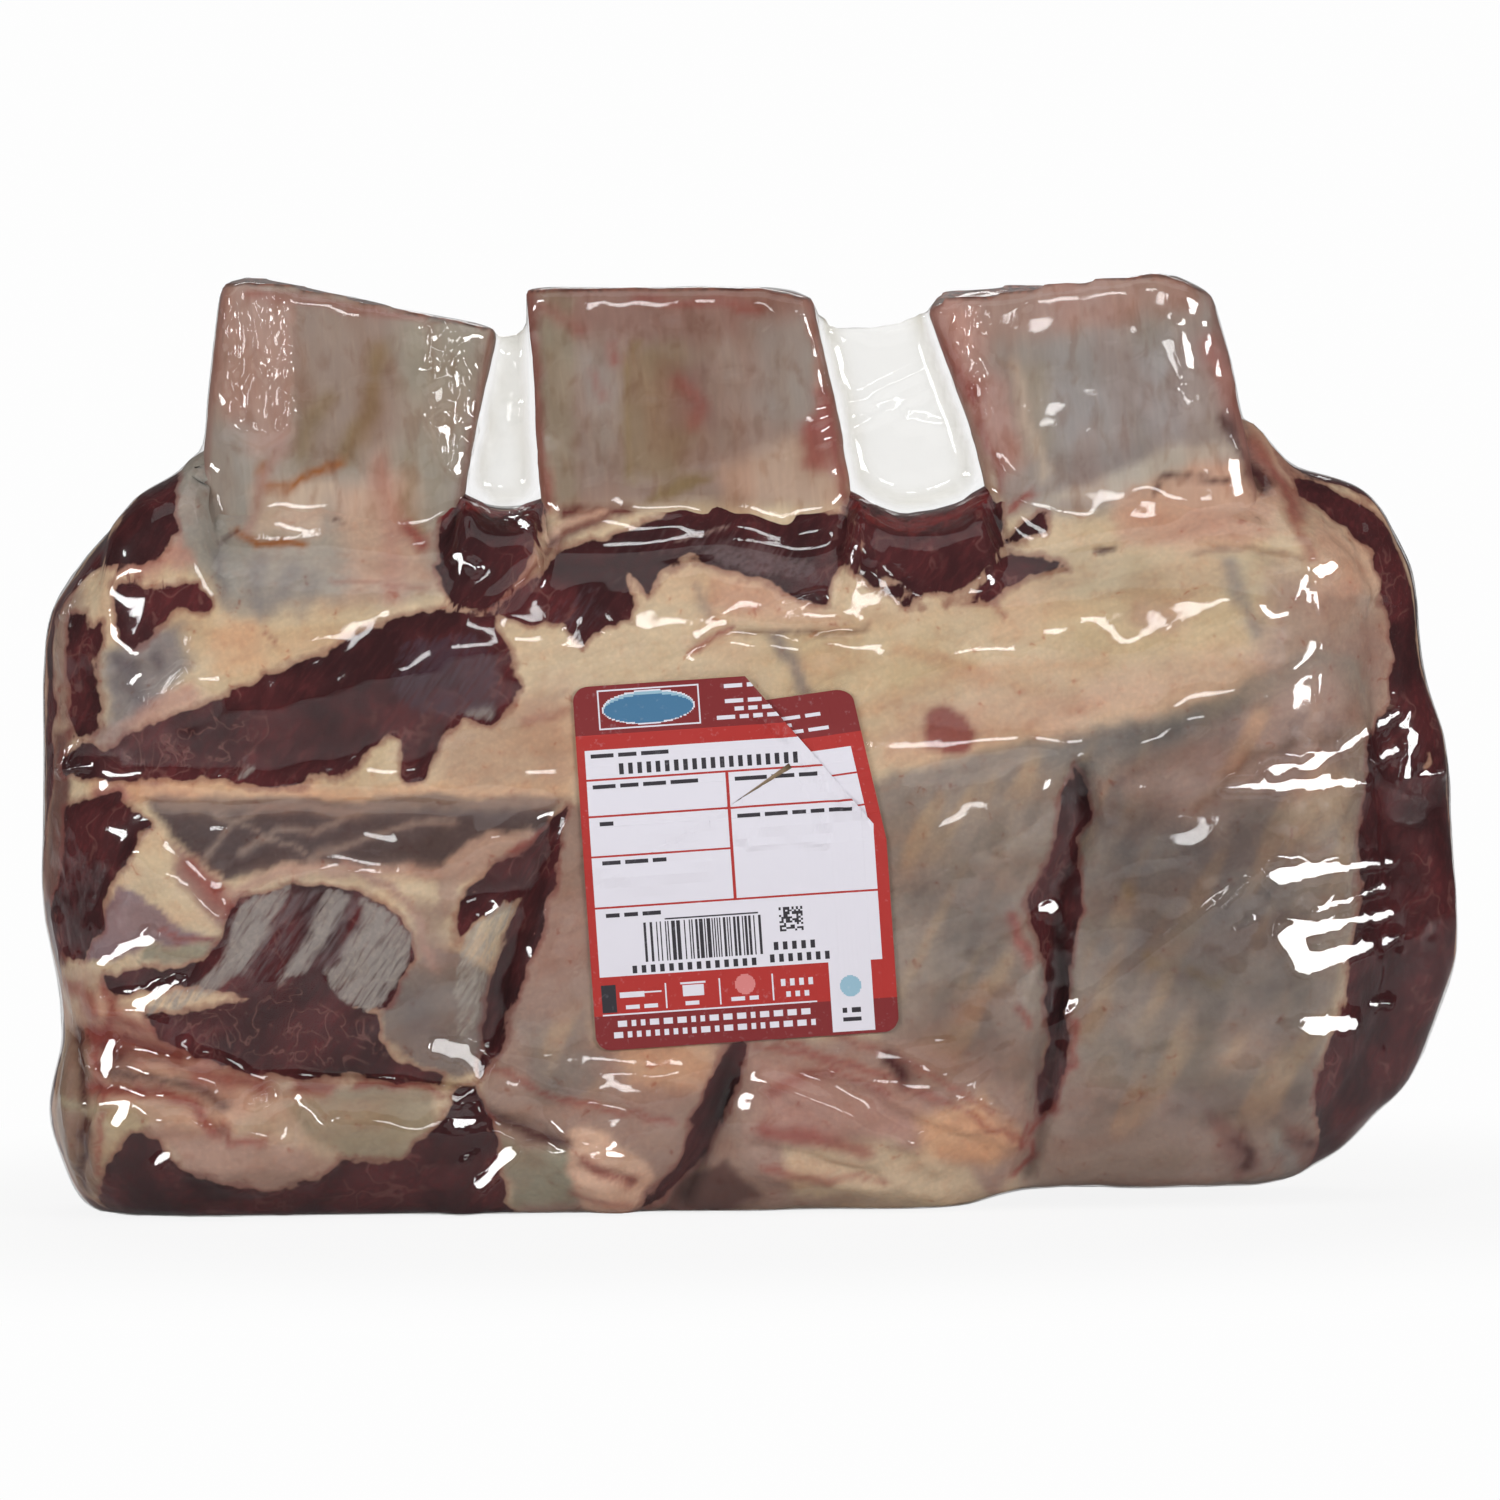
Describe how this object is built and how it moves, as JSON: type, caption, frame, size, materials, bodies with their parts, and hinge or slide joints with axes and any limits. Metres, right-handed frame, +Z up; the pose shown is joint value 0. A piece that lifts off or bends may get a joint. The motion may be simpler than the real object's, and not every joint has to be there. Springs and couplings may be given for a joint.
{
  "type": "raw beef short ribs, vacuum packed",
  "caption": "Vacuum-packed slab of raw beef short ribs: meat and fat with rib bones standing out of its top, clear film drawn tight over it and across the gaps, and a plain paper label.",
  "frame": {"origin": "on the flat underside that the pack stands on, below the middle of the slab's width and depth", "axes": "+X along the slab, to the right of a viewer who faces the bone side; +Y from the bone side to the outer meat side; +Z up, out of the sawn rib ends"},
  "size_m": [0.2834, 0.0836, 0.186],
  "materials": {
    "meat": "wet raw beef and fat under clear film",
    "bone": "rib bone under its thin membrane",
    "film": "clear glossy vacuum bag film",
    "label": "satin paper label with printed fields"
  },
  "bodies": {
    "root": {"meat_slab": "meat", "rib_bone_left": "bone", "rib_bone_middle": "bone", "rib_bone_right": "bone", "film_web_left": "film", "film_web_right": "film", "label": "label"}
  },
  "joints": []
}
